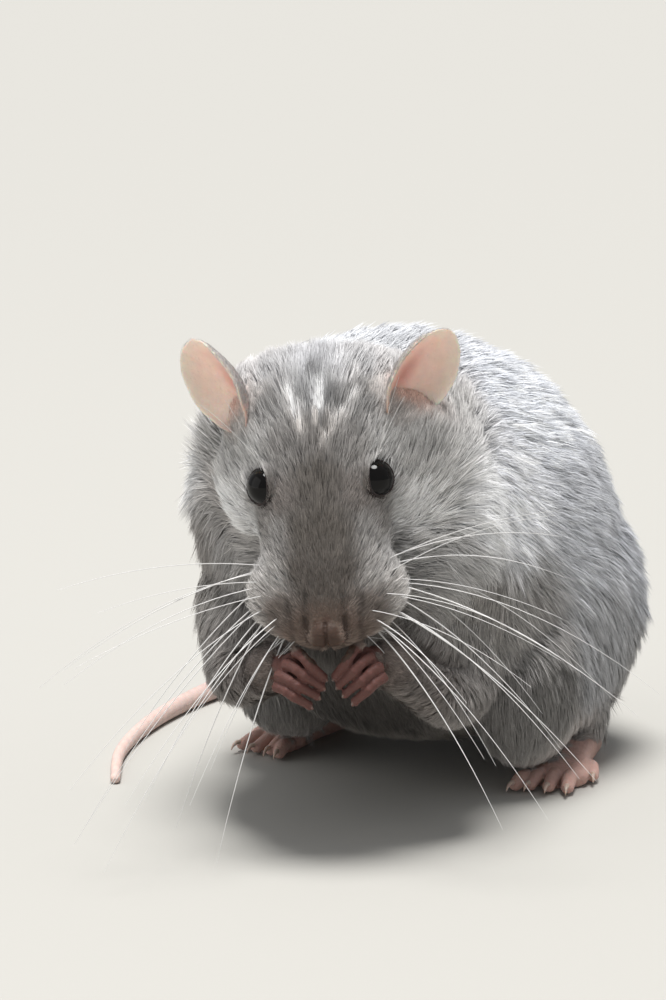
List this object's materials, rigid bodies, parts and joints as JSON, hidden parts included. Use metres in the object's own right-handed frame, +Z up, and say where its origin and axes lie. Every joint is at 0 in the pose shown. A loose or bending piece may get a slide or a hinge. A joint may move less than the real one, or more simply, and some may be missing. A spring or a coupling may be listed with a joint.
{
  "type": "pet rat model",
  "caption": "Life-size grey pet rat sitting hunched on its hind feet, both hands at its mouth, head bent down, ears up and tail curled round on the floor.",
  "frame": {"origin": "middle of the footprint of the whole model, on the floor", "axes": "+Z up; the body faces -Y and its rump and tail are toward +Y; the rat's left side is +X"},
  "size_m": [0.1516, 0.1986, 0.1075],
  "materials": {
    "fur": "soft grey fur",
    "bare_skin": "pink bare skin",
    "ear_skin": "thin pink skin",
    "tail_skin": "ringed scaly skin",
    "eye": "wet gloss black"
  },
  "bodies": {
    "root": {"head": "fur", "neck": "fur", "torso": "fur", "lower_jaw": "fur", "whisker_pad_left": "fur", "whisker_pad_right": "fur", "thigh_left": "fur", "thigh_right": "fur", "foreleg_left": "fur", "foreleg_right": "fur", "nose": "bare_skin", "hand_left": "bare_skin", "hand_right": "bare_skin", "foot_left": "bare_skin", "foot_right": "bare_skin", "ear_left": "ear_skin", "ear_right": "ear_skin", "eye_left": "eye", "eye_right": "eye", "tail_1": "tail_skin", "tail_2": "tail_skin", "tail_3": "tail_skin", "tail_4": "tail_skin", "tail_5": "tail_skin", "tail_6": "tail_skin"}
  },
  "joints": []
}
